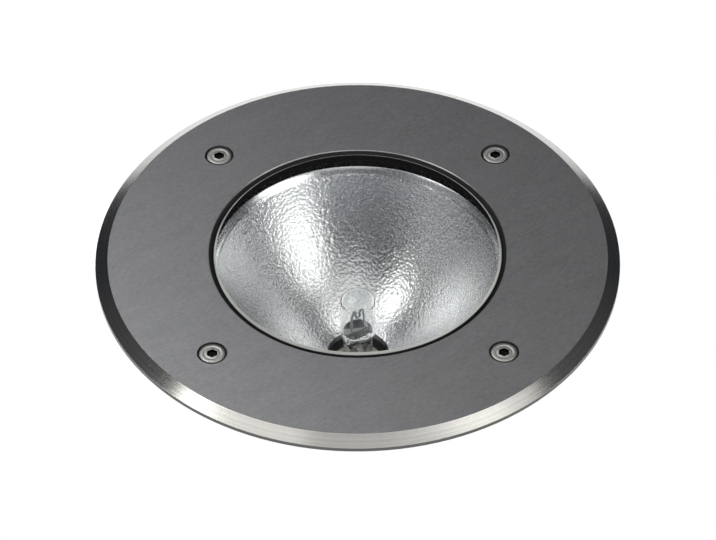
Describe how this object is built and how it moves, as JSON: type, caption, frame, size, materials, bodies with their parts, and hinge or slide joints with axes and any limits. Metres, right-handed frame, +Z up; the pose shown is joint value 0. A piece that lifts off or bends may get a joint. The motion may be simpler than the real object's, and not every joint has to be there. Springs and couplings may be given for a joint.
{
  "type": "in ground well light",
  "caption": "Round in ground well light: stainless trim ring over a flush glass, hammered reflector and clear capsule lamp in a buried cast pot with a cable gland.",
  "frame": {"origin": "centre of the pot's base on the lamp's axis, in the plane of its feet", "axes": "+Z up along the lamp's axis, through the glass; +X towards the cable gland; -Y towards the viewer of the picture"},
  "size_m": [0.207, 0.207, 0.124],
  "materials": {
    "brushed_stainless": "fine straight brushed face with a turned bright bevel",
    "screw_stainless": "turned head with fine rings",
    "toughened_glass": "clear, polished bevel, black bonded edge",
    "quartz_glass": "clear, pressed flat at the pinch",
    "black_silicone": "matt",
    "coated_aluminium": "dark grey fine textured coating on a casting",
    "hammered_aluminium": "bright anodised, hammered all over",
    "brass": "machined",
    "zinc_plated_steel": "zinc plated",
    "steatite": "unglazed",
    "nickel": "nickel plated",
    "molybdenum": "drawn",
    "tungsten": "drawn and coiled",
    "white_polyamide": "moulded",
    "black_polyamide": "moulded, fine texture",
    "clear_nylon": "moulded",
    "wire_brown": "silicone insulation",
    "wire_blue": "silicone insulation",
    "wire_green": "silicone insulation with a yellow stripe"
  },
  "bodies": {
    "base": {"housing": "coated_aluminium", "thread_inserts": "brass", "reflector": "hammered_aluminium", "reflector_screws": "zinc_plated_steel", "lamp_holder": "steatite", "holder_contacts": "nickel", "holder_screws": "zinc_plated_steel", "holder_bracket": "zinc_plated_steel", "bracket_screws": "zinc_plated_steel", "terminal_block": "white_polyamide", "terminal_tubes": "brass", "terminal_screws": "zinc_plated_steel", "terminal_fixing_screws": "zinc_plated_steel", "wire_live": "wire_brown", "wire_neutral": "wire_blue", "wire_earth": "wire_green", "earth_screw": "brass", "earth_washer": "brass", "earth_lug": "nickel", "gland_seal": "black_silicone", "gland_body": "black_polyamide", "blanking_seal": "black_silicone", "blanking_plug": "black_polyamide"},
    "cover": {"bezel_ring": "brushed_stainless", "glass_lens": "toughened_glass", "glass_gasket": "black_silicone"},
    "lamp": {"lamp_envelope": "quartz_glass", "lamp_foils": "molybdenum", "lamp_supports": "molybdenum", "lamp_filament": "tungsten", "lamp_pins": "nickel"},
    "gland_bush": {"gland_bush": "black_silicone"},
    "gland_nut": {"gland_nut": "black_polyamide"},
    "washer_1": {"screw_washer_1": "clear_nylon"},
    "screw_1": {"bezel_screw_1": "screw_stainless"},
    "washer_2": {"screw_washer_2": "clear_nylon"},
    "screw_2": {"bezel_screw_2": "screw_stainless"},
    "washer_3": {"screw_washer_3": "clear_nylon"},
    "screw_3": {"bezel_screw_3": "screw_stainless"},
    "washer_4": {"screw_washer_4": "clear_nylon"},
    "screw_4": {"bezel_screw_4": "screw_stainless"}
  },
  "joints": [
    {"name": "cover_lift", "type": "slide", "parent": "base", "child": "cover", "axis": [0, 0, 1], "range_m": [0, 0.04]},
    {"name": "lamp_pull", "type": "slide", "parent": "base", "child": "lamp", "axis": [0, 0, 1], "range_m": [0, 0.009]},
    {"name": "gland_bush_draw", "type": "slide", "parent": "base", "child": "gland_bush", "axis": [1, 0, 0], "range_m": [0, 0.003]},
    {"name": "gland_nut_turn", "type": "hinge", "parent": "gland_bush", "child": "gland_nut", "pos_m": [0.0845, 0, 0.027], "axis": [1, 0, 0], "range_deg": [0, 720]},
    {"name": "screw_1_rise", "type": "slide", "parent": "cover", "child": "washer_1", "axis": [0, 0, 1], "range_m": [0, 0.012]},
    {"name": "screw_1_turn", "type": "hinge", "parent": "washer_1", "child": "screw_1", "pos_m": [0.05597, 0.05597, 0.1209], "axis": [0, 0, 1], "range_deg": [0, 4320]},
    {"name": "screw_2_rise", "type": "slide", "parent": "cover", "child": "washer_2", "axis": [0, 0, 1], "range_m": [0, 0.012]},
    {"name": "screw_2_turn", "type": "hinge", "parent": "washer_2", "child": "screw_2", "pos_m": [-0.05597, 0.05597, 0.1209], "axis": [0, 0, 1], "range_deg": [0, 4320]},
    {"name": "screw_3_rise", "type": "slide", "parent": "cover", "child": "washer_3", "axis": [0, 0, 1], "range_m": [0, 0.012]},
    {"name": "screw_3_turn", "type": "hinge", "parent": "washer_3", "child": "screw_3", "pos_m": [-0.05597, -0.05597, 0.1209], "axis": [0, 0, 1], "range_deg": [0, 4320]},
    {"name": "screw_4_rise", "type": "slide", "parent": "cover", "child": "washer_4", "axis": [0, 0, 1], "range_m": [0, 0.012]},
    {"name": "screw_4_turn", "type": "hinge", "parent": "washer_4", "child": "screw_4", "pos_m": [0.05597, -0.05597, 0.1209], "axis": [0, 0, 1], "range_deg": [0, 4320]}
  ],
  "couplings": [
    {"joint": "gland_nut_turn", "follows": "gland_bush_draw", "rad_per_m": 4188.8},
    {"joint": "screw_1_turn", "follows": "screw_1_rise", "rad_per_m": 6283.2},
    {"joint": "screw_2_turn", "follows": "screw_2_rise", "rad_per_m": 6283.2},
    {"joint": "screw_3_turn", "follows": "screw_3_rise", "rad_per_m": 6283.2},
    {"joint": "screw_4_turn", "follows": "screw_4_rise", "rad_per_m": 6283.2}
  ]
}
